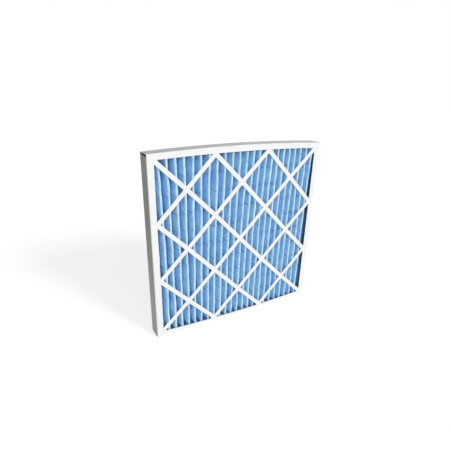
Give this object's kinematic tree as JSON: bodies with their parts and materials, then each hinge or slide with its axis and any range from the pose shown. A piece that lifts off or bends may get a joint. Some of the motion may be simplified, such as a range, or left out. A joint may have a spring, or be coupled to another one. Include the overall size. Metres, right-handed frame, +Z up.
{
  "type": "pleated panel air filter",
  "caption": "Square pleated panel air filter: folded blue nonwoven media in two nested card trays, with a diagonal card lattice across both faces.",
  "frame": {"origin": "middle of the bottom edge, on the surface that the filter stands on", "axes": "+X along the width, +Y from the front face to the rear face, +Z up along the pleats"},
  "size_m": [0.6008, 0.048, 0.6035],
  "materials": {
    "white_card": "smooth white-lined board with a slight sheen",
    "grey_card": "matte light grey board with fine lengthwise streaks",
    "filter_media": "soft matte nonwoven, blue with a paler crest",
    "galvanised_wire": "dull zinc",
    "adhesive": "waxy, set hot-melt"
  },
  "bodies": {
    "root": {"front_frame": "white_card", "rear_frame": "grey_card", "pleated_media": "filter_media", "support_grid": "galvanised_wire", "top_glue_bead": "adhesive", "bottom_glue_bead": "adhesive", "left_glue_bead": "adhesive", "right_glue_bead": "adhesive"}
  },
  "joints": []
}
